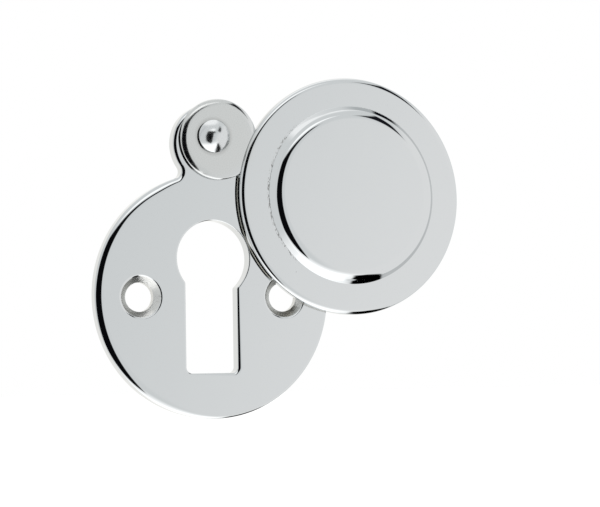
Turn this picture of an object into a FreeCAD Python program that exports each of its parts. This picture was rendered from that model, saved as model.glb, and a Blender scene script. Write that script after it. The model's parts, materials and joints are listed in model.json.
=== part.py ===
"""Covered keyhole escutcheon in plated brass: back plate, swinging cover and the rivet that joins them.

Millimetres, +Z up. The face looks towards -Y and the back lies on the plane Y = 0, against the door.
The origin is halfway between the two screw holes, which is also the middle of the round plate.
The cover is modelled hanging straight down over the keyhole and then turned about the rivet.
"""
import FreeCAD, Part
import math
import os
import Sketcher

DRIVING_SIZES = {
    # Back plate: a solid disc with a round lug at the top.
    "plate_radius": 16.0,
    "plate_thickness": 1.8,
    "plate_edge_radius": 0.6,
    "lug_radius": 5.3,
    # How far the lug's circle reaches into the disc.
    "lug_overlap": 1.5,
    "lug_root_radius": 1.0,
    "back_edge_break": 0.12,
    # Keyhole: a round opening over a straight slot, which was punched a little left of the middle.
    "key_round_radius": 4.98,
    "key_round_height": 4.8,
    "key_slot_width": 7.3,
    "key_slot_shift": 0.22,
    "key_slot_drop": 10.1,
    "key_shoulder_radius": 0.5,
    "key_corner_radius": 0.8,
    "key_edge_break": 0.12,
    # Two countersunk screw holes on the plate's middle line, this far in from its edge.
    "screw_edge_distance": 6.1,
    "screw_hole_radius": 1.9,
    "countersink_radius": 2.75,
    # Rivet axis above the middle of the lug. The cover's disc is as far from it as the plate's.
    "rivet_rise": 0.9,
    # Cover: pressed from sheet, with the disc raised above the lug and the boss raised above the disc.
    "sheet_thickness": 0.7,
    "disc_rise": 0.5,
    "cover_edge_break": 0.32,
    "flat_ring_width": 4.3,
    "boss_rise": 1.1,
    # How far the boss's pressed wall leans inwards from its foot to its top.
    "boss_lean": 0.44,
    "boss_edge_radius": 1.3,
    "boss_foot_fill": 0.12,
    "cover_lug_edge_radius": 0.5,
    "cover_angle": 69.3,
    # Rivet and its fits.
    "shank_radius": 1.2,
    "head_radius": 2.15,
    "head_rim": 0.45,
    "head_dome": 0.83,
    "tail_radius": 1.7,
    "tail_recess": 0.05,
    "cover_gap": 0.06,
    "head_gap": 0.05,
    "turning_clearance": 0.05,
    "seat_clearance": 0.015,
    # Straight wall that is always left beside a rounded edge.
    "least_wall": 0.02,
}

WORKED_OUT_SIZES = {
    "lug_height": "plate_radius + lug_radius - lug_overlap",
    "pivot_height": "lug_height + rivet_rise",
    "half_screw_spacing": "plate_radius - screw_edge_distance",
    "cover_radius": "plate_radius",
    "boss_radius": "cover_radius - flat_ring_width",
    "countersink_width": "countersink_radius - screw_hole_radius",
    "plate_rivet_hole_radius": "shank_radius + seat_clearance",
    "cover_rivet_hole_radius": "shank_radius + turning_clearance",
    "tail_seat_width": "tail_radius - shank_radius",
    "cover_height": "disc_rise + sheet_thickness",
    "boss_height": "cover_height + boss_rise",
    "hollow_radius": "cover_radius - sheet_thickness",
    "boss_hollow_radius": "boss_radius - sheet_thickness",
    "boss_hollow_depth": "disc_rise + boss_rise",
    "boss_top_radius": "boss_radius - boss_lean",
    "boss_hollow_top_radius": "boss_hollow_radius - boss_lean",
    # An edge between the flat and the leaning wall uses less of the wall than its radius.
    "boss_edge_fillet": "min(boss_edge_radius; 1.35 * (boss_rise - boss_foot_fill - least_wall))",
    "boss_inner_bevel": "max(boss_edge_fillet - sheet_thickness; least_wall)",
    "cover_edge_cut": "min(cover_edge_break; cover_height - least_wall)",
    "cover_lug_edge_fillet": "min(cover_lug_edge_radius; sheet_thickness - least_wall)",
    "plate_edge_fillet": "min(plate_edge_radius; plate_thickness - back_edge_break - least_wall)",
    "cover_stand_off": "plate_thickness + cover_gap",
    "head_stand_off": "cover_stand_off + sheet_thickness + head_gap",
    "head_rim_stand_off": "head_stand_off + head_rim",
}

doc = FreeCAD.newDocument("keyhole_escutcheon")
sizes = doc.addObject("Spreadsheet::Sheet", "sizes")


def fill_sheet():
    """Writes the driving sizes as plain numbers and the worked-out sizes as formulas, one alias a row."""
    row = 1
    for name, value in DRIVING_SIZES.items():
        sizes.set(f"A{row}", name)
        sizes.set(f"B{row}", str(value))
        sizes.setAlias(f"B{row}", name)
        row += 1
    doc.recompute()
    for name, formula in WORKED_OUT_SIZES.items():
        sizes.set(f"A{row}", name)
        sizes.set(f"B{row}", "=" + formula)
        sizes.setAlias(f"B{row}", name)
        doc.recompute()
        row += 1


def size(name):
    """The number that the sheet holds under this alias."""
    return float(sizes.get(name))


def new_body(label):
    """An empty body whose label names its file."""
    body = doc.addObject("PartDesign::Body", label)
    body.Label = label
    return body


def new_sketch(body, name, role):
    """A sketch on one of the body's own origin planes."""
    sketch = body.newObject("Sketcher::SketchObject", name)
    plane = next(f for f in body.Origin.OriginFeatures if f.Role == role)
    sketch.AttachmentSupport = [(plane, "")]
    sketch.MapMode = "FlatFace"
    return sketch


def bind(sketch, constraint, name, alias):
    """Adds a named dimension to a sketch and ties it to a cell of the sheet."""
    index = sketch.addConstraint(constraint)
    sketch.renameConstraint(index, name)
    sketch.setExpression(f"Constraints.{name}", f"sizes.{alias}")


def add_circle(sketch, name, radius, across=None, up=None, side=1):
    """A circle whose radius and centre are cells of the sheet; side is -1 for a centre left of the middle."""
    x = side * size(across) if across else 0.0
    y = size(up) if up else 0.0
    index = sketch.addGeometry(Part.Circle(FreeCAD.Vector(x, y, 0), FreeCAD.Vector(0, 0, 1), size(radius)))
    bind(sketch, Sketcher.Constraint("Radius", index, size(radius)), f"{name}_radius", radius)
    if across:
        ends = (-1, 1, index, 3) if side > 0 else (index, 3, -1, 1)
        bind(sketch, Sketcher.Constraint("DistanceX", *ends, abs(x)), f"{name}_across", across)
    else:
        sketch.addConstraint(Sketcher.Constraint("PointOnObject", index, 3, -2))
    if up:
        bind(sketch, Sketcher.Constraint("DistanceY", -1, 1, index, 3, y), f"{name}_up", up)
    else:
        sketch.addConstraint(Sketcher.Constraint("PointOnObject", index, 3, -1))


def add_outline(sketch, corners):
    """A closed outline of straight lines through the corners, each end joined to the next start."""
    points = [FreeCAD.Vector(x, y, 0) for x, y in corners]
    lines = []
    for start, end in zip(points, points[1:] + points[:1]):
        lines.append(sketch.addGeometry(Part.LineSegment(start, end)))
    for line, following in zip(lines, lines[1:] + lines[:1]):
        sketch.addConstraint(Sketcher.Constraint("Coincident", line, 2, following, 1))
    return lines


def settle(feature):
    """Computes a new feature and stops the script if it left no sound shape."""
    doc.recompute()
    if feature.Shape.isNull() or not feature.Shape.isValid():
        raise RuntimeError(f"{feature.Label} leaves no sound shape")
    return feature


def pad(body, sketch, name, length):
    """Adds material from the sketch towards the front of the object."""
    feature = body.newObject("PartDesign::Pad", name)
    feature.Profile = sketch
    feature.setExpression("Length", f"sizes.{length}")
    return settle(feature)


def pocket(body, sketch, name):
    """Cuts the sketch right through the body, towards the front, and makes sure that something went."""
    before = body.Shape.Volume
    feature = body.newObject("PartDesign::Pocket", name)
    feature.Profile = sketch
    feature.Type = "ThroughAll"
    feature.Reversed = True
    settle(feature)
    if not body.Shape.Volume < before - 1e-6:
        raise RuntimeError(f"{name} cuts nothing")
    return feature


def revolve(body, sketch, name):
    """Turns the sketch a full circle about its own horizontal axis, which runs front to back."""
    feature = body.newObject("PartDesign::Revolution", name)
    feature.Profile = sketch
    feature.ReferenceAxis = (sketch, ["H_Axis"])
    feature.Angle = 360.0
    return settle(feature)


def dress(body, kind, name, edges, amount):
    """A fillet or a chamfer, as kind says, on the given edges of the body's last feature."""
    base = body.Tip
    names = [
        f"Edge{number}"
        for number, edge in enumerate(base.Shape.Edges, 1)
        if any(edge.isSame(wanted) for wanted in edges)
    ]
    if not names:
        raise RuntimeError(f"{name} finds no edge")
    feature = body.newObject(f"PartDesign::{kind}", name)
    feature.Base = (base, names)
    feature.setExpression("Radius" if kind == "Fillet" else "Size", f"sizes.{amount}")
    return settle(feature)


def flat_face(body, depth):
    """The largest flat face of the body that lies square to the Y axis, this far in front of Y = 0."""
    faces = []
    for face in body.Tip.Shape.Faces:
        box = face.BoundBox
        if box.YLength < 1e-4 and abs(box.YMin + depth) < 1e-4:
            faces.append(face)
    return max(faces, key=lambda face: face.Area)


def through_edges(body, place):
    """Edges that run straight from front to back where place, a test on x and z, is true."""
    found = []
    for edge in body.Tip.Shape.Edges:
        box = edge.BoundBox
        if box.XLength < 1e-4 and box.ZLength < 1e-4 and place(box.XMin, box.ZMin):
            found.append(edge)
    return found


def ring_edges(body, radius, depth):
    """Circles about the body's own Y axis with this radius, this far in front of Y = 0."""
    found = []
    for edge in body.Tip.Shape.Edges:
        curve = edge.Curve
        if not isinstance(curve, Part.Circle) or abs(curve.Radius - radius) > 1e-4:
            continue
        centre = curve.Center
        if abs(centre.y + depth) < 1e-4 and math.hypot(centre.x, centre.z) < 1e-4:
            found.append(edge)
    return found


def wire_edges(face, inner):
    """The face's outer edges, or with inner, the edges of its largest opening."""
    if not inner:
        return face.OuterWire.Edges
    openings = [wire for wire in face.Wires if not wire.isSame(face.OuterWire)]
    return max(openings, key=lambda wire: wire.BoundBox.DiagonalLength).Edges


def build_back_plate():
    """Disc and lug padded from the back, pierced for the key, two screws and the rivet, then its edges."""
    body = new_body("back_plate")

    disc = new_sketch(body, "plate_disc_sketch", "XZ_Plane")
    add_circle(disc, "disc", "plate_radius")
    pad(body, disc, "plate_disc", "plate_thickness")

    lug = new_sketch(body, "plate_lug_sketch", "XZ_Plane")
    add_circle(lug, "lug", "lug_radius", up="lug_height")
    pad(body, lug, "plate_lug", "plate_thickness")

    roots = through_edges(body, lambda x, z: abs(x) > 1e-3 and z > 0)
    dress(body, "Fillet", "lug_roots", roots, "lug_root_radius")

    key_round = new_sketch(body, "key_round_sketch", "XZ_Plane")
    add_circle(key_round, "key_round", "key_round_radius", up="key_round_height")
    pocket(body, key_round, "key_round")

    key_slot = new_sketch(body, "key_slot_sketch", "XZ_Plane")
    left = -size("key_slot_width") / 2 - size("key_slot_shift")
    right = left + size("key_slot_width")
    top = size("key_round_height")
    bottom = -size("key_slot_drop")
    lines = add_outline(key_slot, [(left, bottom), (right, bottom), (right, top), (left, top)])
    for line in (lines[0], lines[2]):
        key_slot.addConstraint(Sketcher.Constraint("Horizontal", line))
    for line in (lines[1], lines[3]):
        key_slot.addConstraint(Sketcher.Constraint("Vertical", line))
    width = Sketcher.Constraint("DistanceX", lines[0], 1, lines[0], 2, right - left)
    bind(key_slot, width, "width", "key_slot_width")
    side = key_slot.addConstraint(Sketcher.Constraint("DistanceX", lines[0], 1, -1, 1, -left))
    key_slot.renameConstraint(side, "left_side")
    key_slot.setExpression("Constraints.left_side", "sizes.key_slot_width / 2 + sizes.key_slot_shift")
    drop = Sketcher.Constraint("DistanceY", lines[0], 1, -1, 1, -bottom)
    bind(key_slot, drop, "drop", "key_slot_drop")
    rise = Sketcher.Constraint("DistanceY", -1, 1, lines[2], 1, top)
    bind(key_slot, rise, "rise", "key_round_height")
    pocket(body, key_slot, "key_slot")

    def beside_slot(x):
        """True on either side wall of the slot."""
        return min(abs(x - left), abs(x - right)) < 1e-3

    shoulders = through_edges(body, lambda x, z: beside_slot(x) and z > bottom + 1e-3)
    dress(body, "Fillet", "key_shoulders", shoulders, "key_shoulder_radius")
    corners = through_edges(body, lambda x, z: beside_slot(x) and abs(z - bottom) < 1e-3)
    dress(body, "Fillet", "key_corners", corners, "key_corner_radius")

    screws = new_sketch(body, "screw_holes_sketch", "XZ_Plane")
    for name, side in (("left", -1), ("right", 1)):
        add_circle(screws, name, "screw_hole_radius", across="half_screw_spacing", side=side)
    pocket(body, screws, "screw_holes")

    rivet = new_sketch(body, "plate_rivet_hole_sketch", "XZ_Plane")
    add_circle(rivet, "rivet_hole", "plate_rivet_hole_radius", up="pivot_height")
    pocket(body, rivet, "plate_rivet_hole")

    front = size("plate_thickness")
    mouths = []
    for edge in flat_face(body, front).Edges:
        curve = edge.Curve
        if isinstance(curve, Part.Circle) and abs(curve.Radius - size("screw_hole_radius")) < 1e-4:
            mouths.append(edge)
    dress(body, "Chamfer", "countersinks", mouths, "countersink_width")

    tail_seat = []
    for edge in flat_face(body, 0.0).Edges:
        curve = edge.Curve
        if isinstance(curve, Part.Circle) and abs(curve.Center.z - size("pivot_height")) < 1e-4:
            tail_seat.append(edge)
    dress(body, "Chamfer", "tail_seat", tail_seat, "tail_seat_width")

    dress(body, "Fillet", "front_edge", wire_edges(flat_face(body, front), False), "plate_edge_fillet")
    dress(body, "Chamfer", "key_edge", wire_edges(flat_face(body, front), True), "key_edge_break")
    dress(body, "Chamfer", "back_edge", wire_edges(flat_face(body, 0.0), False), "back_edge_break")
    return body


def build_swing_cover():
    """The flat lug first, then the pressed disc and boss turned from one stepped section of even thickness."""
    body = new_body("swing_cover")

    lug = new_sketch(body, "cover_lug_sketch", "XZ_Plane")
    add_circle(lug, "lug", "lug_radius", up="lug_height")
    pad(body, lug, "cover_lug", "sheet_thickness")
    lug_front = wire_edges(flat_face(body, size("sheet_thickness")), False)
    dress(body, "Fillet", "cover_lug_edge", lug_front, "cover_lug_edge_fillet")

    # The lug ends inside the disc's wall, so that the hollow behind the disc stays open.
    hollow = new_sketch(body, "lug_trim_sketch", "XZ_Plane")
    add_circle(hollow, "hollow", "hollow_radius")
    pocket(body, hollow, "lug_trim")

    # The section's corners: depth in front of the cover's back, then distance from the disc's axis.
    steps = [
        (None, "cover_radius"),
        ("cover_height", "cover_radius"),
        ("cover_height", "boss_radius"),
        ("boss_height", "boss_top_radius"),
        ("boss_height", None),
        ("boss_hollow_depth", None),
        ("boss_hollow_depth", "boss_hollow_top_radius"),
        ("disc_rise", "boss_hollow_radius"),
        ("disc_rise", "hollow_radius"),
        (None, "hollow_radius"),
    ]
    section = new_sketch(body, "cover_section_sketch", "YZ_Plane")
    corners = [(-size(depth) if depth else 0.0, size(radius) if radius else 0.0) for depth, radius in steps]
    lines = add_outline(section, corners)
    for number, (line, (depth, radius)) in enumerate(zip(lines, steps)):
        if depth:
            depth_rule = Sketcher.Constraint("DistanceX", line, 1, -1, 1, size(depth))
            bind(section, depth_rule, f"depth_{number}", depth)
        else:
            section.addConstraint(Sketcher.Constraint("PointOnObject", line, 1, -2))
        if radius:
            radius_rule = Sketcher.Constraint("DistanceY", -1, 1, line, 1, size(radius))
            bind(section, radius_rule, f"radius_{number}", radius)
        else:
            section.addConstraint(Sketcher.Constraint("PointOnObject", line, 1, -1))
    revolve(body, section, "cover_disc")

    pivot = new_sketch(body, "cover_rivet_hole_sketch", "XZ_Plane")
    add_circle(pivot, "rivet_hole", "cover_rivet_hole_radius", up="pivot_height")
    pocket(body, pivot, "cover_rivet_hole")

    boss_top = ring_edges(body, size("boss_top_radius"), size("boss_height"))
    dress(body, "Fillet", "boss_edge", boss_top, "boss_edge_fillet")
    boss_inside = ring_edges(body, size("boss_hollow_top_radius"), size("boss_hollow_depth"))
    dress(body, "Chamfer", "boss_inner_edge", boss_inside, "boss_inner_bevel")
    boss_foot = ring_edges(body, size("boss_radius"), size("cover_height"))
    dress(body, "Chamfer", "boss_foot", boss_foot, "boss_foot_fill")
    rim = ring_edges(body, size("cover_radius"), size("cover_height"))
    dress(body, "Chamfer", "cover_edge", rim, "cover_edge_cut")

    # Turned about -Y, so that from the front the cover swings up to the right.
    body.Placement.Rotation = FreeCAD.Rotation(FreeCAD.Vector(0, -1, 0), size("cover_angle"))
    body.setExpression("Placement.Rotation.Angle", "sizes.cover_angle")
    body.setExpression("Placement.Base.x", "sizes.pivot_height * sin(sizes.cover_angle)")
    body.setExpression("Placement.Base.y", "-sizes.cover_stand_off")
    body.setExpression("Placement.Base.z", "sizes.pivot_height * (1 - cos(sizes.cover_angle))")
    return body


def build_pivot_rivet():
    """Domed head, plain shank and a tail spread into its seat in the back of the lug, turned in one piece."""
    body = new_body("pivot_rivet")
    section = new_sketch(body, "rivet_section_sketch", "YZ_Plane")
    under_head = size("head_stand_off")
    rim_front = size("head_rim_stand_off")
    head = size("head_radius")
    shank = size("shank_radius")
    recess = size("tail_recess")
    tail_start = size("tail_seat_width")
    tail = size("tail_radius") - recess
    dome = size("head_dome")
    sphere = (head * head + dome * dome) / (2 * dome)
    top = rim_front + dome
    centre = FreeCAD.Vector(-top + sphere, 0, 0)
    start_angle = math.atan2(head, -rim_front - centre.x)
    circle = Part.Circle(centre, FreeCAD.Vector(0, 0, 1), sphere)
    arc = section.addGeometry(Part.ArcOfCircle(circle, start_angle, math.pi))
    corners = [
        (-rim_front, head),
        (-under_head, head),
        (-under_head, shank),
        (-tail_start, shank),
        (-recess, tail),
        (-recess, 0.0),
        (-top, 0.0),
    ]
    points = [FreeCAD.Vector(x, y, 0) for x, y in corners]
    lines = []
    for start, end in zip(points, points[1:]):
        lines.append(section.addGeometry(Part.LineSegment(start, end)))
    for line, following in zip(lines, lines[1:]):
        section.addConstraint(Sketcher.Constraint("Coincident", line, 2, following, 1))
    section.addConstraint(Sketcher.Constraint("Coincident", arc, 1, lines[0], 1))
    section.addConstraint(Sketcher.Constraint("Coincident", arc, 2, lines[-1], 2))
    section.addConstraint(Sketcher.Constraint("PointOnObject", arc, 3, -1))
    section.addConstraint(Sketcher.Constraint("Horizontal", lines[0]))
    section.addConstraint(Sketcher.Constraint("Vertical", lines[1]))
    section.addConstraint(Sketcher.Constraint("Horizontal", lines[2]))
    section.addConstraint(Sketcher.Constraint("Vertical", lines[4]))
    section.addConstraint(Sketcher.Constraint("PointOnObject", lines[5], 1, -1))
    section.addConstraint(Sketcher.Constraint("PointOnObject", lines[5], 2, -1))
    rules = [
        ("rim_front", Sketcher.Constraint("DistanceX", lines[0], 1, -1, 1, rim_front), "head_rim_stand_off"),
        ("under_head", Sketcher.Constraint("DistanceX", lines[1], 1, -1, 1, under_head), "head_stand_off"),
        ("head", Sketcher.Constraint("DistanceY", -1, 1, lines[0], 1, head), "head_radius"),
        ("shank", Sketcher.Constraint("DistanceY", -1, 1, lines[2], 1, shank), "shank_radius"),
        ("tail_start", Sketcher.Constraint("DistanceX", lines[3], 1, -1, 1, tail_start), "tail_seat_width"),
        ("recess", Sketcher.Constraint("DistanceX", lines[4], 1, -1, 1, recess), "tail_recess"),
        ("dome", Sketcher.Constraint("DistanceX", arc, 2, lines[0], 1, dome), "head_dome"),
    ]
    for name, rule, alias in rules:
        bind(section, rule, name, alias)
    tail_rule = section.addConstraint(Sketcher.Constraint("DistanceY", -1, 1, lines[4], 1, tail))
    section.renameConstraint(tail_rule, "tail")
    section.setExpression("Constraints.tail", "sizes.tail_radius - sizes.tail_recess")
    revolve(body, section, "rivet_turned")
    body.setExpression("Placement.Base.z", "sizes.pivot_height")
    return body


def check_document():
    """Stops the script if any object failed to compute."""
    for item in doc.Objects:
        faults = [state for state in item.State if state in ("Invalid", "Error")]
        if faults:
            raise RuntimeError(f"{item.Label} is {', '.join(faults)}")


def write_parts(bodies):
    """Writes each body's shape, where it stands in the object, to its own STEP file."""
    os.makedirs("parts", exist_ok=True)
    for body in bodies:
        shape = body.Shape
        if shape.isNull() or not shape.isValid() or len(shape.Solids) != 1:
            raise RuntimeError(f"{body.Label} isn't one sound solid")
    for body in bodies:
        body.Shape.exportStep(f"parts/{body.Label}.step")
        print(f"{body.Label}: {body.Shape.Volume:.1f} cubic mm, {len(body.Shape.Faces)} faces")


fill_sheet()
pieces = [build_back_plate(), build_swing_cover(), build_pivot_rivet()]
doc.recompute()
check_document()
write_parts(pieces)
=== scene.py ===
# %% [markdown]
# # A covered keyhole escutcheon in polished chrome
#
# The packed model holds three real pieces: a back plate, a cover that swings over the keyhole, and the
# rivet that joins them. They are brass, plated with bright chrome, and a bright mirror shows everything
# about a surface: how its edges were buffed, how flat its faces are and what stands round it. This lesson
# works the three skins out with numpy, gives them their plating and stands a small studio round them.

# %% Load the solids
import json
import math
import bmesh
import bpy
import numpy as np
from mathutils import Matrix, Vector


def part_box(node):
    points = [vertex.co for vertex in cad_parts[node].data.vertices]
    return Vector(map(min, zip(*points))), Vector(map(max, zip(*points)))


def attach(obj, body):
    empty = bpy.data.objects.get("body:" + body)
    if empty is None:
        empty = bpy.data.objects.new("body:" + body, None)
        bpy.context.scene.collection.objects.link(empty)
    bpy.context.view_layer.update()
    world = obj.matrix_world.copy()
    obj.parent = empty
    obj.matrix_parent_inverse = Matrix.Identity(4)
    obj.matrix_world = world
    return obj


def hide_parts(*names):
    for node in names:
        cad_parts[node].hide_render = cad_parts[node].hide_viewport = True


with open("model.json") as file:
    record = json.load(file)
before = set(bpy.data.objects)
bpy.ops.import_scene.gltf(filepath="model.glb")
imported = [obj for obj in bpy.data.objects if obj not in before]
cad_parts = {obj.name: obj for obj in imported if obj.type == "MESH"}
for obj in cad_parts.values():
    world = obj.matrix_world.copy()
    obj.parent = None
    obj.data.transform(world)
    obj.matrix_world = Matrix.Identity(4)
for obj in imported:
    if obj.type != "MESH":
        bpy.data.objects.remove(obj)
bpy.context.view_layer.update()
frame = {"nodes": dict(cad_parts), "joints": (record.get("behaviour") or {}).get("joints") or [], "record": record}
print("solids:", sorted(frame["nodes"]))

# %% [markdown]
# ## Sizes
#
# The solids already have their real size, so the sizes that matter are read from them: the plate's width,
# how thick each piece is, where the rivet stands and how far the cover is turned. Only the small shapes
# of edges and steps are written here, in millimetres, as on a drawing. `front` is always the distance in
# front of the door, which is the solids' -Y.

# %% Sizes
mm = 0.001
plate_low, plate_high = (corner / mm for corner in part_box("back_plate"))
cover_low, cover_high = (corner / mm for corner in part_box("swing_cover"))
rivet_low, rivet_high = (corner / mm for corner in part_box("pivot_rivet"))
pivot_height = frame["joints"][0]["pos_m"][2] / mm
screw_mount = next(mount for mount in frame["record"]["mounts"] if mount["name"] == "screw_holes")

disc_radius = (plate_high.x - plate_low.x) / 2
plate_thickness = -plate_low.y
cover_back = -cover_high.y
cover_depth = cover_high.y - cover_low.y
cover_angle = math.asin((cover_high.x - disc_radius) / pivot_height)
half_screw_spacing = screw_mount["dims"]["spacing_x_mm"] / 2
screw_hole_radius = screw_mount["dims"]["hole_r_mm"]
head_radius = (rivet_high.x - rivet_low.x) / 2
head_front = -rivet_low.y
tail_back = -rivet_high.y

rivet_rise = 0.9
lug_height = pivot_height - rivet_rise
lug_radius = plate_high.z - lug_height
print(f"disc {disc_radius:.2f}, lug {lug_radius:.2f} at {lug_height:.2f}, cover turned "
      f"{math.degrees(cover_angle):.1f} degrees, boss front {cover_back + cover_depth:.2f} mm")

# %% [markdown]
# ## Outlines
#
# Every outline of this object is made of arcs, joined directly or by straight lines. A bend gives evenly
# spaced points on an arc together with the direction that points out of the metal there. Carrying a small
# profile along those points and directions then makes any rim, wall or hole.

# %% Bends and paths
bend_step = math.radians(1.0)


def bend(centre, radius, start, end, outward=1):
    """Points centre + radius * (cos, sin) at even angles from start to end, with outward * (cos, sin) beside
    them as the directions that point out of the metal."""
    count = max(3, int(abs(end - start) / bend_step) + 2)
    angles = np.linspace(start, end, count)
    radial = np.stack([np.cos(angles), np.sin(angles)], axis=1)
    return np.asarray(centre) + radius * radial, outward * radial


def join(*bends):
    """One path from several bends, without the points that fall on the one before."""
    points = np.concatenate([points for points, normals in bends])
    normals = np.concatenate([normals for points, normals in bends])
    gaps = np.linalg.norm(points - np.roll(points, 1, axis=0), axis=1)
    fresh = gaps > 1e-6
    return points[fresh], normals[fresh]


def circle(centre, radius, outward=1):
    """A full circle as a path; outward is -1 for a hole, whose metal lies outside it."""
    return join(bend(centre, radius, 0, 2 * math.pi, outward))


print("a full circle has", len(circle((0, 0), disc_radius)[0]), "points")

# %% [markdown]
# ## Skins
#
# A skin is a grid of points: one direction runs along the path and the other along the profile. The
# profile says how far inside the outline a point lies and how far in front of the door. Flat faces lie
# between the ends of the skins, so they are filled afterwards, as one plane with its holes.

# %% Skins and pieces
support = 0.04
same_plane = 1e-8
same_point = 1e-7
sharp_angle = math.radians(28)


def skin(path, insets, fronts):
    """Each path point is moved into the metal by each inset and put at each front: a grid of points in mm.
    Insets and fronts are rows of numbers, or tables with a row for every path point."""
    points, normals = path
    insets = np.broadcast_to(insets, (len(points), np.shape(insets)[-1]))
    fronts = np.broadcast_to(fronts, insets.shape)
    flat = points[:, None, :] - normals[:, None, :] * insets[:, :, None]
    return np.stack([flat[..., 0], -fronts, flat[..., 1]], axis=-1)


def grid_faces(rows, columns):
    """Quads between neighbouring points of a grid whose last row joins the first."""
    row = np.arange(rows)[:, None]
    column = np.arange(columns - 1)[None, :]
    here = row * columns + column
    beside = (row + 1) % rows * columns + column
    return np.stack([here, beside, beside + 1, here + 1], axis=-1).reshape(-1, 4)


def fill_flat(mesh, front):
    """Fills the plane at this front between all the open edges that lie on it."""
    rim = [edge for edge in mesh.edges if edge.is_boundary
           and all(abs(corner.co.y + front * mm) < same_plane for corner in edge.verts)]
    bmesh.ops.triangle_fill(mesh, use_beauty=True, edges=rim, normal=(0, -1, 0))


def make_piece(name, skins, flats, body, node):
    """Joins the skins, fills the flat faces, turns every face outwards and lets the piece stand for its
    solid. A grid's faces count their points from where the grid starts in the one list of all points."""
    points = np.concatenate([grid.reshape(-1, 3) for grid in skins]) * mm
    faces = []
    start = 0
    for grid in skins:
        faces.append(grid_faces(*grid.shape[:2]) + start)
        start += grid.shape[0] * grid.shape[1]
    data = bpy.data.meshes.new(name)
    data.from_pydata(points, [], np.concatenate(faces))
    mesh = bmesh.new()
    mesh.from_mesh(data)
    bmesh.ops.remove_doubles(mesh, verts=mesh.verts, dist=same_point)
    for front in flats:
        fill_flat(mesh, front)
    bmesh.ops.recalc_face_normals(mesh, faces=mesh.faces)
    open_edges = sum(1 for edge in mesh.edges if not edge.is_manifold)
    volume = mesh.calc_volume(signed=True)
    mesh.to_mesh(data)
    mesh.free()
    data.shade_smooth()
    data.set_sharp_from_angle(angle=sharp_angle)
    piece = bpy.data.objects.new(name, data)
    bpy.context.scene.collection.objects.link(piece)
    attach(piece, body)
    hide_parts(node)
    print(f"{name}: {len(data.polygons)} faces, {open_edges} open edges, {volume / mm ** 3:.0f} cubic mm")
    return piece


# %% [markdown]
# ## Buffed edges
#
# A cutter leaves a corner sharp. Buffing on a soft wheel wears it twice: the face rolls off over about a
# millimetre with a large radius, the crown, and only the last tenth of a millimetre turns the corner. In a
# mirror finish the crown is what draws the broad black line along each edge, so it is built as two arcs
# that meet in one direction. A bevel modifier gives one arc, which puts the black line in the wrong place.

# %% Buffed edges
corner_radius = 0.15
section_step = 3
square = 90


def section(*parts):
    """Walks down a section and returns how far across and how far down each point lies. A part is an arc,
    given as (radius, first tilt, last tilt), or a straight slope, given as (length, tilt, tilt), with tilts
    in degrees. Each small step adds its length times the cosine and the sine of its tilt."""
    across, down = [np.zeros(1)], [np.zeros(1)]
    for size, first, last in parts:
        count = max(1, int(abs(last - first) / section_step))
        edges = np.radians(np.linspace(first, last, count + 1))
        tilt = (edges[1:] + edges[:-1]) / 2
        length = size * np.abs(np.diff(edges)) if first != last else np.full(1, size)
        across.append(across[-1][-1] + np.cumsum(length * np.cos(tilt)))
        down.append(down[-1][-1] + np.cumsum(length * np.sin(tilt)))
    return np.concatenate(across), np.concatenate(down)


def buffed(crown_radius, crown_tilt=28.0, corner=corner_radius):
    """A crown and a corner: how far inside the outline and how far below the face each point lies."""
    across, down = section((crown_radius, 0, crown_tilt), (corner, crown_tilt, square))
    return across[-1] - across, down


def smooth_step(values, low, high):
    """0 below low, 1 above high and a smooth rise between."""
    share = np.clip((values - low) / (high - low), 0, 1)
    return share * share * (3 - 2 * share)


def blend_sections(first, second, share):
    """Every number of the first section moves to that of the second by the share, row by row."""
    return tuple(a + (b - a) * share for a, b in zip(first, second))


print(f"a crown of 1 mm takes {buffed(1.0)[0][0]:.2f} mm of the face")

# %% [markdown]
# ## The back plate
#
# A solid plate: a round disc and a round lug, joined by two small hollow curves. It could be cut from a
# cylinder and a box with booleans, but then the rounded rim couldn't run smoothly round the hollow curves.
# As a path of four arcs it does, and the buffing can be wider on the disc than on the lug.

# %% Back plate outline
root_radius = 1.0
disc_crown, narrow_crown, lug_crown = 2.25, 0.4, 1.12
narrow_from, narrow_to = -8.0, 3.0
edge_change_low, edge_change_high = 14.0, 17.0
back_break = 0.12


def plate_outline():
    """Disc, hollow curve, lug, hollow curve. A hollow curve's centre lies one of its radii outside both
    circles."""
    far = disc_radius + root_radius
    near = lug_radius + root_radius
    up = (far ** 2 - near ** 2 + lug_height ** 2) / (2 * lug_height)
    side = math.sqrt(far ** 2 - up ** 2)
    from_disc = math.atan2(up, side)
    from_lug = math.atan2(up - lug_height, side)
    return join(
        bend((0, 0), disc_radius, math.pi - from_disc, 2 * math.pi + from_disc),
        bend((side, up), root_radius, from_disc + math.pi, from_lug + math.pi, outward=-1),
        bend((0, lug_height), lug_radius, from_lug, math.pi - from_lug),
        bend((-side, up), root_radius, -from_lug, -from_disc, outward=-1),
    )


def plate_rim():
    """The plate's outer wall: a buffed front edge and a broken back edge. The buffing is widest on the disc's
    left, narrow on its right and between on the lug, and goes smoothly from one to the next."""
    path = plate_outline()
    on_lug = smooth_step(path[0][:, 1], edge_change_low, edge_change_high)[:, None]
    on_right = smooth_step(path[0][:, 0], narrow_from, narrow_to)[:, None]
    inset, below = blend_sections(buffed(disc_crown), buffed(narrow_crown), on_right)
    inset, below = blend_sections((inset, below), buffed(lug_crown), on_lug)
    column = np.ones_like(on_lug)
    insets = np.hstack([inset[:, :1] + support, inset, 0 * column, back_break * column])
    fronts = np.hstack([plate_thickness * column, plate_thickness - below, back_break * column, 0 * column])
    return skin(path, insets, fronts)


print("the plate's rim is a grid of", plate_rim().shape[:2], "points")

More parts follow.
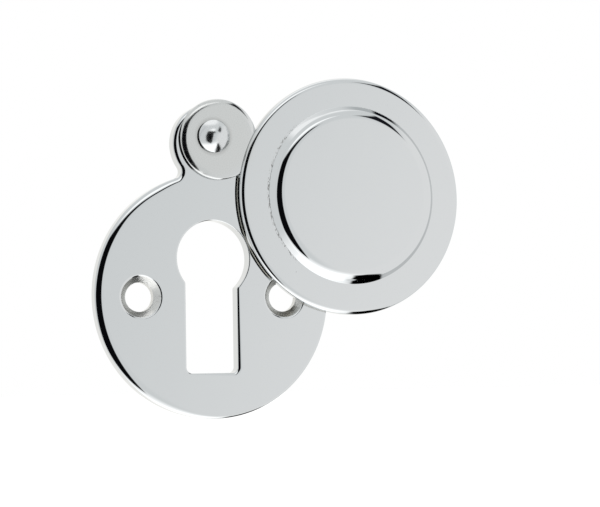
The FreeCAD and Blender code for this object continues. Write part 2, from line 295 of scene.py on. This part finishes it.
# %% [markdown]
# ## The keyhole
#
# A punch makes the round head and the slot in one stroke. Two cutters and a boolean would give the hole, but
# the wheel dips into it and rounds its front edge, most of all on the slot's right side. A path of arcs
# with a buffed edge carried along it shows that.

# %% Keyhole
key_round_radius = 4.98
key_round_height = 4.8
key_slot_left, key_slot_right = -3.87, 3.25
key_slot_bottom = -10.1
key_shoulder_radius = 0.5
key_corner_radius = 0.8
key_crown, key_slot_crown, key_edge_corner = 0.3, 1.0, 0.08
slot_side_from, slot_side_to = 1.5, 3.0
slot_top_from, slot_top_to = -2.0, 0.0


def keyhole_outline():
    """The round head over the slot. Shoulders curve round centres in the metal, corners round centres in the
    slot."""
    reach = key_round_radius + key_shoulder_radius
    right = key_slot_right + key_shoulder_radius
    left = -key_slot_left + key_shoulder_radius
    right_up = key_round_height - math.sqrt(reach ** 2 - right ** 2)
    left_up = key_round_height - math.sqrt(reach ** 2 - left ** 2)
    right_turn = math.atan2(right_up - key_round_height, right)
    left_turn = math.atan2(left_up - key_round_height, left)
    corner_up = key_slot_bottom + key_corner_radius
    right_corner = (key_slot_right - key_corner_radius, corner_up)
    left_corner = (key_slot_left + key_corner_radius, corner_up)
    quarter = math.pi / 2
    return join(
        bend(right_corner, key_corner_radius, -quarter, 0, outward=-1),
        bend((right, right_up), key_shoulder_radius, math.pi, right_turn + math.pi),
        bend((0, key_round_height), key_round_radius, right_turn, math.pi - left_turn, outward=-1),
        bend((-left, left_up), key_shoulder_radius, -left_turn, 0),
        bend(left_corner, key_corner_radius, math.pi, 3 * quarter, outward=-1),
    )


def keyhole_wall():
    """The punched wall of the keyhole. Its front edge is buffed widest on the right side of the slot."""
    path = keyhole_outline()
    across, up = path[0].T
    on_right = smooth_step(across, slot_side_from, slot_side_to)
    on_slot = (on_right * smooth_step(-up, slot_top_from, slot_top_to))[:, None]
    narrow = buffed(key_crown, corner=key_edge_corner)
    wide = buffed(key_slot_crown, corner=key_edge_corner)
    inset, below = blend_sections(narrow, wide, on_slot)
    column = np.ones_like(on_slot)
    insets = np.hstack([inset[:, :1] + support, inset, 0 * column])
    fronts = np.hstack([plate_thickness * column, plate_thickness - below, 0 * column])
    return skin(path, insets, fronts)


print("the keyhole's wall is a grid of", keyhole_wall().shape[:2], "points")

# %% [markdown]
# ## The screw holes and the rivet's seat
#
# A drill and a 90 degree countersink make the screw holes. A cone with a boolean would leave its lip as a
# sharp ring, while the wheel has softened it. So each hole is a profile turned about its own middle, and the
# seat that is spread for the rivet's tail is one too.

# %% Screw and rivet holes
countersink_width = 0.85
countersink_lip = 0.45
countersink_tilt = 45
screw_drop = 0.2
tail_radius = 1.7
shank_radius = 1.2
seat_clearance = 0.015


def screw_hole(side):
    """A 90 degree countersink with a softened lip over a straight hole; side is -1 or 1. The lip is an arc
    from flat to the cone's 45 degrees."""
    across, below = section((countersink_lip, 0, countersink_tilt))
    cone_top = countersink_width - below[-1]
    insets = np.concatenate([[cone_top + across[-1] + support], cone_top + across[-1] - across, [0, 0]])
    fronts = plate_thickness - np.concatenate([[0], below, [countersink_width, plate_thickness]])
    path = circle((side * half_screw_spacing, -screw_drop), screw_hole_radius, outward=-1)
    return skin(path, insets, fronts)


def plate_rivet_hole():
    """The hole under the rivet, spread into a seat at the back for its tail."""
    seat = tail_radius - shank_radius
    insets = [support, 0, 0, seat]
    fronts = [plate_thickness, plate_thickness, seat, 0]
    path = circle((0, pivot_height), shank_radius + seat_clearance, outward=-1)
    return skin(path, insets, fronts)


print("a screw hole's wall is a grid of", screw_hole(-1).shape[:2], "points")

# %% [markdown]
# ## Joining the plate's skins
#
# Rim, keyhole and holes are the walls of one solid piece. Their grids are joined and the two flat faces
# filled between them, which gives a closed mesh as a boolean would, without its stray slivers.

# %% Build the back plate
back_plate = make_piece(
    "plate_skin",
    [plate_rim(), keyhole_wall(), screw_hole(-1), screw_hole(1), plate_rivet_hole()],
    [plate_thickness, 0],
    "plate", "back_plate",
)

# %% [markdown]
# ## The swinging cover
#
# The cover is pressed from sheet: a lug that lies flat on the plate, a disc that stands a step above it
# and a boss that stands above the disc, with the back hollow behind both. The disc is a profile turned
# about its own middle, and the lug is a flat piece that ends inside the disc's wall. Both are worked out
# hanging straight down and then turned about the rivet, as the real one is.

# %% Cover
sheet_thickness = 0.7
disc_rise = 0.5
flat_ring_width = 4.1
boss_radius = disc_radius - flat_ring_width
disc_front = disc_rise + sheet_thickness
boss_front = cover_depth
boss_crown, boss_shoulder, boss_slope, boss_foot = 2.2, 0.35, 52.0, 0.08
boss_crown_tilt = 32
cover_crown, cover_corner, cover_tilt = 1.25, 0.4, 26.0
rim_lean, rim_lean_towards = 0.28, math.radians(-10)
boss_inner_bevel = 0.26
turning_clearance = 0.05
wall_middle = disc_radius - sheet_thickness / 2
print(f"boss {2 * boss_radius:.1f} mm wide on a disc {2 * disc_radius:.1f} mm wide")


def swing(grid):
    """Turns a grid about the rivet by the cover's angle, up to the right as seen from the front."""
    cosine, sine = math.cos(cover_angle), math.sin(cover_angle)
    across = grid[..., 0]
    up = grid[..., 2] - pivot_height
    turned_across = across * cosine - up * sine
    turned_up = across * sine + up * cosine + pivot_height
    return np.stack([turned_across, grid[..., 1] - cover_back, turned_up], axis=-1)


# %% [markdown]
# ## The cover's disc and boss
#
# The press draws the boss out of the flat sheet in one stroke, so its shoulder is round, its slope straight
# and its foot a tight hollow curve. Spin or Screw modifiers would turn such a profile too. Written as arcs
# with a radius and a tilt each, every reflection can be moved by changing one number.

# %% Cover disc
def boss_section():
    """Crown, shoulder, a straight slope that makes up the height, and the foot's hollow curve, from the
    middle out."""
    slope = math.radians(boss_slope)
    arcs = [(boss_crown, 0, boss_crown_tilt), (boss_shoulder, boss_crown_tilt, boss_slope)]
    foot = (boss_foot, boss_slope, 0)
    left = boss_front - disc_front - section(*arcs)[1][-1] - section(foot)[1][-1]
    return section(*arcs, (left / math.sin(slope), boss_slope, boss_slope), foot)


def cover_disc():
    """The shell's section from the boss's flat over the ring, rim and hollow back to the boss's inside.
    The blank was cut a little off the boss's centre: on one side its rim lies further in, by a cosine."""
    across, below = boss_section()
    rim_inset, rim_below = buffed(cover_crown, cover_tilt, cover_corner)
    boss_flat = boss_radius + boss_foot / 2 - across[-1]
    boss_back = boss_front - sheet_thickness
    radii = np.concatenate([
        [boss_flat - support],
        boss_flat + across,
        [boss_flat + across[-1] + support, disc_radius - rim_inset[0] - support],
        disc_radius - rim_inset,
        [disc_radius, disc_radius - back_break, disc_radius - sheet_thickness, disc_radius - sheet_thickness],
        [boss_radius - sheet_thickness] * 2,
        [boss_radius - sheet_thickness - boss_inner_bevel],
    ])
    fronts = np.concatenate([
        [boss_front],
        boss_front - below,
        [disc_front, disc_front],
        disc_front - rim_below,
        [back_break, 0, 0, disc_rise],
        [disc_rise, boss_back - boss_inner_bevel],
        [boss_back],
    ])
    print(f"boss flat {boss_flat:.2f}, foot {boss_flat + across[-1]:.2f} mm")
    path = circle((0, 0), disc_radius)
    lean = rim_lean / 2 * (1 + path[1] @ (math.cos(rim_lean_towards), math.sin(rim_lean_towards)))
    on_rim = radii > boss_radius + 1
    return swing(skin(path, disc_radius - radii + np.outer(lean, on_rim), fronts))


# %% [markdown]
# ## The cover's lug
#
# The lug is a flat tongue of the same sheet, round like the plate's lug under it. A bevelled disc would have
# the same edge all round, but a wheel can't reach in close to the disc, so the buffed edge narrows there on
# both sides. Two directions from the lug's middle say where.

# %% Cover lug
lug_crown_tilt = 29.0
cover_lug_crown, cover_lug_low_crown, cover_lug_high_crown = 1.89, 0.35, 1.35
lug_low_side, lug_high_side = (-0.633, -0.774), (0.911, -0.412)
side_from, side_to = 0.5, 0.9


def lug_outline():
    """The lug's circle down to where it enters the disc's wall, and back along the middle of that wall."""
    up = (wall_middle ** 2 - lug_radius ** 2 + lug_height ** 2) / (2 * lug_height)
    side = math.sqrt(wall_middle ** 2 - up ** 2)
    from_lug = math.atan2(up - lug_height, side)
    from_disc = math.atan2(up, side)
    free = bend((0, lug_height), lug_radius, from_lug, math.pi - from_lug)
    hidden = bend((0, 0), wall_middle, math.pi - from_disc, from_disc, outward=-1)
    rounded = np.concatenate([np.ones(len(free[0])), np.zeros(len(hidden[0]))])
    points = np.concatenate([free[0], hidden[0]])
    normals = np.concatenate([free[1], hidden[1]])
    return (points, normals), rounded[:, None]


def cover_lug():
    """The flat lug with a buffed edge all round its free side, narrower close to the disc. How far a point is
    on one of these sides is the cosine between its outward direction and the side's."""
    path, rounded = lug_outline()
    low = smooth_step(path[1] @ lug_low_side, side_from, side_to)[:, None]
    high = smooth_step(path[1] @ lug_high_side, side_from, side_to)[:, None]
    wide, lower, higher = (buffed(crown, lug_crown_tilt) for crown in (
        cover_lug_crown, cover_lug_low_crown, cover_lug_high_crown))
    inset, below = blend_sections(wide, lower, low)
    inset, below = blend_sections((inset, below), higher, high)
    insets = np.hstack([(inset[:, :1] + support) * rounded, inset * rounded, 0 * rounded])
    fronts = np.hstack([sheet_thickness + 0 * rounded, sheet_thickness - below * rounded, 0 * rounded])
    return swing(skin(path, insets, fronts))


def cover_rivet_hole():
    """The cover turns on the rivet in this hole."""
    path = circle((0, pivot_height), shank_radius + turning_clearance, outward=-1)
    return swing(skin(path, [0, 0], [sheet_thickness, 0]))


cover_flats = [boss_front, boss_front - sheet_thickness, sheet_thickness, 0]
swing_cover = make_piece(
    "cover_skin",
    [cover_disc(), cover_lug(), cover_rivet_hole()],
    [cover_back + front for front in cover_flats],
    "cover", "swing_cover",
)

# %% [markdown]
# ## The rivet
#
# The rivet is turned from rod, put through cover and plate, and its tail spread in the seat at the back. A
# squashed sphere would do for the head, but its edge would be too steep: the real dome is a shallow arc on a
# short rim. So the whole rivet, head, shank and tail, is one profile turned about its axis.

# %% Rivet
head_back = cover_back + sheet_thickness + turning_clearance
head_rim = 0.38
head_corner = 0.12


def rivet_section():
    """Radius and front of each point: an arc over the head, its corner, then under the head, shank and tail.
    Half of the arc's last tilt has the head's rise over its radius as its tangent."""
    dome_rise = head_front - head_back - head_rim
    tilt = 2 * math.degrees(math.atan(dome_rise / head_radius))
    sine = math.sin(math.radians(tilt))
    dome_radius = (head_radius - head_corner * (1 - sine)) / sine
    across, below = section((dome_radius, 0, tilt), (head_corner, tilt, square))
    radii = np.concatenate([across, [head_radius, shank_radius, shank_radius, tail_radius - tail_back, 0]])
    fronts = np.concatenate([head_front - below, [head_back, head_back, tail_radius - shank_radius,
                             tail_back, tail_back]])
    print(f"head {head_front - head_back:.2f} mm high, {2 * head_radius:.1f} mm wide")
    return radii, fronts


radii, fronts = rivet_section()
pivot_rivet = make_piece(
    "rivet_skin",
    [skin(circle((0, pivot_height), head_radius), head_radius - radii, fronts)],
    [], "plate", "pivot_rivet",
)

# %% [markdown]
# ## The camera
#
# The photograph was taken from the left and a little from below, with a long lens. Where each outline lies in
# it gives three angles, a distance and a focal length in pixels. An aimed camera with a Track To
# constraint can't roll, so the three directions are worked out and put into the camera's matrix.

# %% Camera
photo_width = 600
sensor_width = 36.0
focal_pixels = 1987.3
camera_yaw = math.radians(-22.379)
camera_pitch = math.radians(-3.725)
camera_roll = math.radians(-0.983)
camera_distance = 0.260
aim_right = 0.011871
aim_up = 0.005558


def place_camera():
    """Looks back along a line that leaves the plate's middle at the given yaw and pitch, rolled about it."""
    backward = Vector((
        math.sin(camera_yaw) * math.cos(camera_pitch),
        -math.cos(camera_yaw) * math.cos(camera_pitch),
        math.sin(camera_pitch),
    ))
    level_right = Vector((0, 0, 1)).cross(backward).normalized()
    level_up = backward.cross(level_right)
    right = level_right * math.cos(camera_roll) + level_up * math.sin(camera_roll)
    up = level_up * math.cos(camera_roll) - level_right * math.sin(camera_roll)
    place = backward * camera_distance + right * aim_right + up * aim_up
    data = bpy.data.cameras.new("camera")
    data.sensor_width = sensor_width
    data.lens = data.sensor_width * focal_pixels / photo_width
    camera = bpy.data.objects.new("camera", data)
    camera.matrix_world = Matrix.Translation(place) @ Matrix((right, up, backward)).transposed().to_4x4()
    bpy.context.scene.collection.objects.link(camera)
    bpy.context.scene.camera = camera
    return camera


camera = place_camera()
print("camera at", [round(value, 4) for value in camera.location], "lens", round(camera.data.lens, 1), "mm")

# %% [markdown]
# ## Shader expressions
#
# Finishes and the studio are worked out by formulas. Written as nodes, a formula becomes a tangle, so one
# small class lets Python write it: it holds a socket, and each operator adds the Math node that does it.

# %% Shader expressions
class Value:
    """A socket in a node tree. Numbers, colours and directions are all sockets, and operators join them."""

    def __init__(self, tree, socket):
        self.tree, self.socket = tree, socket

    def node(self, kind, settings=None, sockets=None, output=0):
        """Adds a node: first its settings, then its sockets, each a number, a colour or another value."""
        node = self.tree.nodes.new(kind)
        for name, setting in (settings or {}).items():
            setattr(node, name, setting)
        for name, given in (sockets or {}).items():
            if isinstance(given, Value):
                self.tree.links.new(given.socket, node.inputs[name])
            else:
                node.inputs[name].default_value = given
        return Value(self.tree, node.outputs[output] if node.outputs else None)

    def math(self, operation, *others):
        return self.node("ShaderNodeMath", {"operation": operation}, dict(enumerate((self, *others))))

    def __add__(self, other):
        return self.math("ADD", other)

    def __sub__(self, other):
        return self.math("SUBTRACT", other)

    def __rsub__(self, other):
        return (self * -1.0) + other

    def __mul__(self, other):
        return self.math("MULTIPLY", other)

    __radd__ = __add__
    __rmul__ = __mul__

    def minimum(self, other):
        return self.math("MINIMUM", other)

    def maximum(self, other):
        return self.math("MAXIMUM", other)

    def rise(self, low, high):
        """0 below low, 1 above high and a smooth rise between; it falls where low is the larger."""
        return self.node("ShaderNodeMapRange", {"interpolation_type": "SMOOTHSTEP"},
                         {"Value": self, "From Min": low, "From Max": high})

    def dot(self, direction):
        """The cosine between this direction and another, times their lengths."""
        sockets = {0: self, 1: direction}
        return self.node("ShaderNodeVectorMath", {"operation": "DOT_PRODUCT"}, sockets, "Value")

    def blend(self, colour, share):
        """This colour, with a share of another mixed in."""
        return self.node("ShaderNodeMix", {"data_type": "RGBA"}, {"Factor": share, 6: self, 7: colour}, 2)


def start_tree(owner):
    """Empties the node tree of a material or a world and returns a value to start expressions from."""
    owner.use_nodes = True
    owner.node_tree.nodes.clear()
    return Value(owner.node_tree, None)


print("values have", sorted(name for name in vars(Value) if not name.startswith("_")))

# %% [markdown]
# ## The studio
#
# Chrome has no colour of its own worth speaking of: it shows what stands round it. The photograph's own
# reflections tell what that was. A white tent, a bright lamp below, and where the camera stands, a dark
# opening, which the crown of every left edge shows as a broad black line. They are far away compared with
# the object, so each is painted on the world as a panel with soft edges, by direction alone.

# %% Panels
def towards(azimuth, elevation):
    """The direction so many degrees to the right of straight ahead, which is -Y, and so many above level."""
    azimuth, elevation = math.radians(azimuth), math.radians(elevation)
    return Vector((math.sin(azimuth) * math.cos(elevation), -math.cos(azimuth) * math.cos(elevation),
                   math.sin(elevation)))


def panel(look, corners, softness):
    """1 for directions inside a flat panel and 0 outside. A straight edge far away lies in a plane through
    the object, so a direction is inside when it is on the inner side of every edge's plane."""
    inside = 1.0
    middle = sum((towards(*corner) for corner in corners), Vector())
    for first, second in zip(corners, corners[1:] + corners[:1]):
        side = towards(*first).cross(towards(*second)).normalized()
        if side.dot(middle) < 0:
            side = -side
        half = math.radians(softness) / 2
        inside = look.dot(side).rise(-half, half) * inside
    return inside


print("straight ahead is", tuple(towards(0, 0)))

# %% [markdown]
# ## Hanging the panels
#
# Area lights would light the object but show as hard squares in it. Painted panels are light and reflection
# at once. Each is a colour, how many degrees wide its soft edge is and its corners, as degrees to the right
# and above level. They are painted one over the other, from the walls to the opening and the dark flags.

# %% Studio
world = bpy.data.worlds.new("studio")
bpy.context.scene.world = world
start = start_tree(world)
look = start.node("ShaderNodeTexCoord", output="Generated")

tent = {"Red": 0.93, "Green": 0.95, "Blue": 0.955}
grey_card, near_black, black = (0.73, 0.74, 0.76), (0.01, 0.01, 0.015), (0.0, 0.0, 0.0)
wide_edge, lamp_edge, card_edge, crisp_edge = 14.0, 8.0, 5.0, 3.0
panels = {
    "wall on the right": ((1.095, 1.095, 1.095), wide_edge, [(21, 8), (95, 40), (95, -34), (9, -40)]),
    "ceiling": ((1.35, 1.35, 1.35), wide_edge,
                [(-150, 58), (-90, 58), (-30, 58), (30, 58), (90, 58), (150, 58)]),
    "wall on the left": ((0.82, 0.82, 0.80), wide_edge, [(-150, 60), (-98, 60), (-98, -32), (-150, -32)]),
    "wall behind": ((1.10, 1.09, 1.06), wide_edge, [(140, 60), (-140, 60), (-140, -60), (140, -60)]),
    "glow round the lamp": ((1.45, 1.45, 1.45), 16.0,
                            [(-70, -28), (26, -20), (46, -50), (100, -70), (150, -75), (-150, -66)]),
    "lamp below": ((1.75, 1.75, 1.75), lamp_edge, [(-60, -38), (24, -30), (32, -68), (-100, -68)]),
    "lit table": ((1.75, 1.75, 1.75), lamp_edge,
                  [(-160, -55), (-100, -55), (-45, -58), (20, -66), (60, -70), (114, -72), (150, -68)]),
    "grey card on the left": (grey_card, card_edge, [(-77, -8), (-60, 34), (-54, 34), (-70, -8)]),
    "grey card above it": (grey_card, card_edge, [(-62, 28), (-48, 50), (-38, 52), (-54, 28)]),
    "lamp above": ((1.6, 1.6, 1.6), crisp_edge, [(-32, 29), (6, 28), (24, 35), (24, 43), (4, 40), (-30, 42)]),
    "fold beside the opening": (near_black, crisp_edge, [(3, 17), (2, 24), (12, 25), (17, 20), (14, 18)]),
    "opening": ((0.004, 0.004, 0.005), crisp_edge,
                [(-27, 26), (5, 25), (-7, -34), (-18, -34), (-37, -22), (-37, 2)]),
    "flag below": (black, crisp_edge,
                   [(27, -31), (38, -26), (66, -42), (100, -44), (115, -62), (54, -66), (34, -50)]),
    "flag on the right": (black, crisp_edge, [(95, -42), (135, -38), (140, -60), (95, -64)]),
    "flag above": (near_black, crisp_edge, [(27, 27), (42, 19), (55, 34), (60, 47)]),
}

studio = start.node("ShaderNodeCombineColor", {}, tent)
for colour, softness, corners in panels.values():
    studio = studio.blend((*colour, 1.0), panel(look, corners, softness))
print("studio of", len(world.node_tree.nodes), "nodes")

seen = start.node("ShaderNodeLightPath", output="Is Camera Ray")
around = start.node("ShaderNodeBackground", {}, {"Color": studio})
white = start.node("ShaderNodeBackground", {}, {"Color": (1.0, 1.0, 1.0, 1.0)})
surface = start.node("ShaderNodeMixShader", {}, {0: seen, 1: around, 2: white})
start.node("ShaderNodeOutputWorld", {}, {"Surface": surface})

# %% [markdown]
# ## The floor
#
# The object hangs in front of plain white. A pale floor well below it closes the space for the other views.
# For the camera it gives off half of a full white by itself, and the other half is light that falls on it,
# so it melts into the background and still takes the object's shadow. Mirrors look past it at the studio.

# %% Floor
floor_drop = 55 * mm
floor_reach = 12.0
floor_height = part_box("back_plate")[0].z - floor_drop


def make_floor():
    """A flat grid of points, even in both directions, all at one height."""
    steps = np.linspace(-floor_reach, floor_reach, 5)
    across, deep = np.meshgrid(steps, steps)
    points = np.stack([across, deep, np.full_like(across, floor_height)], axis=-1).reshape(-1, 3)
    row, column = np.meshgrid(np.arange(4), np.arange(4), indexing="ij")
    corner = (row * 5 + column).reshape(-1, 1)
    data = bpy.data.meshes.new("floor")
    data.from_pydata(points, [], corner + np.array([0, 1, 6, 5]))
    floor = bpy.data.objects.new("floor", data)
    bpy.context.scene.collection.objects.link(floor)
    floor.visible_glossy = False
    return floor


def paint_floor(floor):
    """Matt white with the faintest unevenness, lifted by half for the camera."""
    material = bpy.data.materials.new("floor")
    start = start_tree(material)
    place = start.node("ShaderNodeTexCoord", output="Object")
    cloud = start.node("ShaderNodeTexNoise", {}, {"Vector": place, "Scale": 3.0, "Detail": 3.0})
    colour = start.node("ShaderNodeMix", {"data_type": "RGBA"},
                        {"Factor": cloud, 6: (0.86, 0.86, 0.85, 1.0), 7: (0.90, 0.90, 0.895, 1.0)}, 2)
    matt = start.node("ShaderNodeBsdfPrincipled", {}, {"Base Color": colour, "Roughness": 0.9})
    glow = start.node("ShaderNodeEmission", {}, {"Color": (1.0, 1.0, 1.0, 1.0), "Strength": 1.3})
    lift = start.node("ShaderNodeLightPath", output="Is Camera Ray") * 0.5
    surface = start.node("ShaderNodeMixShader", {}, {0: lift, 1: matt, 2: glow})
    start.node("ShaderNodeOutputMaterial", {}, {"Surface": surface})
    floor.data.materials.append(material)


floor = make_floor()
paint_floor(floor)
print(f"floor {floor_drop / mm:.0f} mm under the plate")

# %% [markdown]
# ## Chrome plating
#
# Chrome over nickel over polished brass. A flat grey metal would look like plastic foil, because real
# plating is never perfectly even: buffing leaves the faces in long, very low waves that bend what they
# mirror, fine hairlines cross them, dust leaves pits, and where the current didn't reach, as in the hollow
# back and inside the holes, the layer is thin, duller and a little yellow. All of it is worked out from the
# place on the piece, in millimetres.

# %% Plating
chrome_colour = (0.615, 0.63, 0.635, 1.0)
thin_colour = (0.50, 0.46, 0.37, 1.0)
# Pits, dirt and the painted shade round the rivet's foot all darken towards this colour.
pit_dirt_and_shade_colour = (0.09, 0.08, 0.07, 1.0)


class Plating:
    """Chrome on one piece. The parts are masks and heights that each piece joins as it needs."""

    def __init__(self, name):
        self.material = bpy.data.materials.new(name)
        self.start = start_tree(self.material)
        coordinates = self.start.node("ShaderNodeTexCoord", output="Object")
        self.place = coordinates.node("ShaderNodeVectorMath", {"operation": "SCALE"},
                                      {0: coordinates, "Scale": 1 / mm})
        normal = self.start.node("ShaderNodeTexCoord", output="Normal")
        self.facing_back = normal.dot((0.0, 1.0, 0.0)).rise(0.3, 0.8)

    def noise(self, size, detail=2.0, place=None):
        """Clouds about this many millimetres across, between 0 and 1."""
        return self.start.node("ShaderNodeTexNoise", {}, {"Vector": place or self.place, "Scale": 1 / size,
                                                          "Detail": detail})

    def pits(self, spacing, radius, share):
        """Round dots of this radius, one in each cell of the spacing, kept in a share of the cells."""
        settings = {"feature": "F1"}
        sockets = {"Vector": self.place, "Scale": 1 / spacing}
        near = self.start.node("ShaderNodeTexVoronoi", settings, sockets, "Distance")
        cell = self.start.node("ShaderNodeTexVoronoi", settings, sockets, "Color")
        chosen = self.start.node("ShaderNodeSeparateColor", {}, {0: cell}, "Red").rise(share, share * 0.9)
        return near.rise(radius / spacing, radius / spacing * 0.5) * chosen

    def distance(self, across, up):
        """Millimetres from an axis that runs from front to back at this place."""
        flattened = {0: self.place, 1: (1.0, 0.0, 1.0)}
        flat = self.place.node("ShaderNodeVectorMath", {"operation": "MULTIPLY"}, flattened)
        ends = {0: flat, 1: (across, 0.0, up)}
        return flat.node("ShaderNodeVectorMath", {"operation": "DISTANCE"}, ends, "Value")

    def hairlines(self, turn):
        """Long thin scratches along one direction: noise squeezed across it and stretched along it."""
        turned = self.start.node("ShaderNodeMapping", {}, {"Vector": self.place, "Rotation": (0.0, turn, 0.0),
                                                          "Scale": (0.12, 1.0, 9.0)})
        return self.noise(1.0, 1.0, turned).rise(0.70, 0.76)

    def finish(self, thin, dark, height, roughness):
        """Joins colour, roughness and height. Height is in thousandths of a millimetre."""
        colour = self.start.node("ShaderNodeMix", {"data_type": "RGBA"},
                                 {"Factor": thin, 6: chrome_colour, 7: thin_colour}, 2)
        colour = colour.blend(pit_dirt_and_shade_colour, dark)
        bump = self.start.node("ShaderNodeBump", {}, {
            "Height": height, "Distance": 0.001 * mm, "Strength": 1.0})
        metal = self.start.node("ShaderNodeBsdfPrincipled", {}, {
            "Base Color": colour, "Metallic": 1.0, "Roughness": roughness, "Normal": bump})
        self.start.node("ShaderNodeOutputMaterial", {}, {"Surface": metal})
        return self.material


def dress(piece, material):
    """Gives a piece its one finish."""
    piece.data.materials.clear()
    piece.data.materials.append(material)
    print(piece.name, "wears", material.name)


# %% [markdown]
# ## Polish
#
# The wheel leaves low waves as long as it is wide and finer ones from its cloth, and its grit leaves
# hairlines. Image textures would repeat and need a map of the piece. Noise in millimetres needs neither.

# %% Polish
def polish(plating, thin, pits, dirt_and_shade, machined=0.0, worn=0.0):
    """Long waves, hairlines and pits, with the roughness that goes with them. The last argument darkens the
    colour: dirt, and on the cover also painted shade round the rivet's foot.
    """
    waves = plating.noise(7.0, 1.0) * 9.0 + plating.noise(1.6, 1.0) * 0.5
    lines = (plating.hairlines(0.5) + plating.hairlines(2.1)).minimum(1.0)
    height = waves - lines * 0.12 - pits * 3.0 + plating.noise(0.25, 3.0) * machined * 14.0
    roughness = plating.noise(4.0, 3.0) * 0.03 + 0.02 + lines * 0.05 + pits * 0.3
    roughness = roughness + thin * 0.22 + machined * 0.16 + worn
    return plating.finish(thin * 0.8, (pits * 0.9 + dirt_and_shade).minimum(1.0), height, roughness)


# %% [markdown]
# ## The plate's finish
#
# The plate is bright all over, but the countersinks were cut after polishing and show the cutter's marks
# with a few dull chips. A second material on those faces would end in a hard line, so a mask by distance
# from each screw's axis changes the one finish.

# %% Plate finish
countersink_reach = screw_hole_radius + countersink_width
plate_plating = Plating("plate chrome")
from_screw = plate_plating.distance(-half_screw_spacing, -screw_drop).minimum(
    plate_plating.distance(half_screw_spacing, -screw_drop))
machined = from_screw.rise(countersink_reach, countersink_reach - 0.15)
chips = plate_plating.noise(0.35, 2.0).rise(0.62, 0.72) * machined * 0.45
plate_thin = plate_plating.facing_back.maximum(machined * 0.25)
plate_pits = plate_plating.pits(2.6, 0.10, 0.25)
dress(back_plate, polish(plate_plating, plate_thin, plate_pits, chips, machined))

# %% [markdown]
# ## The cover's finish
#
# Specks of old polish stay in the hollow curve at the boss's foot, on the left, and the lug is a little duller and
# warmer from the rivet's rubbing. A soft dark ring round the rivet's foot is painted shade, with a little grime.
# All are masks of distance, from the boss's middle and from the rivet, so they need no painting by hand.

# %% Cover finish
worn_far, worn_near = 6.5, 4.5
speckle_from, speckle_to = 0.50, 0.58
cover_plating = Plating("cover chrome")
disc_across = pivot_height * math.sin(cover_angle)
disc_up = pivot_height * (1 - math.cos(cover_angle))
from_boss = cover_plating.distance(disc_across, disc_up)
from_rivet = cover_plating.distance(0.0, pivot_height)
foot = boss_radius + 0.15
on_foot = from_boss.rise(foot - 0.25, foot - 0.05) * from_boss.rise(foot + 0.2, foot)
upright = cover_plating.start.node("ShaderNodeMapping", {}, {
    "Vector": cover_plating.place, "Scale": (5.0, 1.0, 2.2)})
on_left = cover_plating.place.dot((1.0, 0.0, 0.0)).rise(disc_across - 7.5, disc_across - 9.5)
speckle = cover_plating.noise(1.0, 1.0, upright).rise(speckle_from, speckle_to) * on_foot * on_left
speckle = speckle * cover_plating.facing_back.rise(0.5, 0.0)
# Painted shade: this dark ring round the rivet's foot stands in for the shadow there, with a little grime.
ring = from_rivet.rise(2.75, 2.2) * 0.2
rubbed = from_rivet.rise(worn_far, worn_near)
cover_thin = cover_plating.facing_back.maximum(rubbed * 0.17)
cover_pits = cover_plating.pits(2.1, 0.10, 0.3)
# The specks are dirt; the ring round the rivet's foot is painted shade.
cover_specks_and_shade = speckle * 0.7 + ring
dress(swing_cover, polish(cover_plating, cover_thin, cover_pits, cover_specks_and_shade, worn=rubbed * 0.05))

# %% [markdown]
# ## The rivet's finish
#
# The rivet is plated like the rest and dulled by the hammer and by hands, so it is the same finish with
# smaller pits and more roughness all over.

# %% Rivet finish
rivet_plating = Plating("rivet chrome")
rivet_pits = rivet_plating.pits(1.5, 0.06, 0.2)
dress(pivot_rivet, polish(rivet_plating, rivet_plating.facing_back, rivet_pits, 0.0, worn=0.13))
print("finishes:", [material.name for material in bpy.data.materials])

# %% [markdown]
# ## View transform
#
# The surfaces should fill the same box as the solids and stay inside it. Standard is the view that shows white as
# white.

# %% View transform
bpy.context.scene.view_settings.view_transform = "Standard"
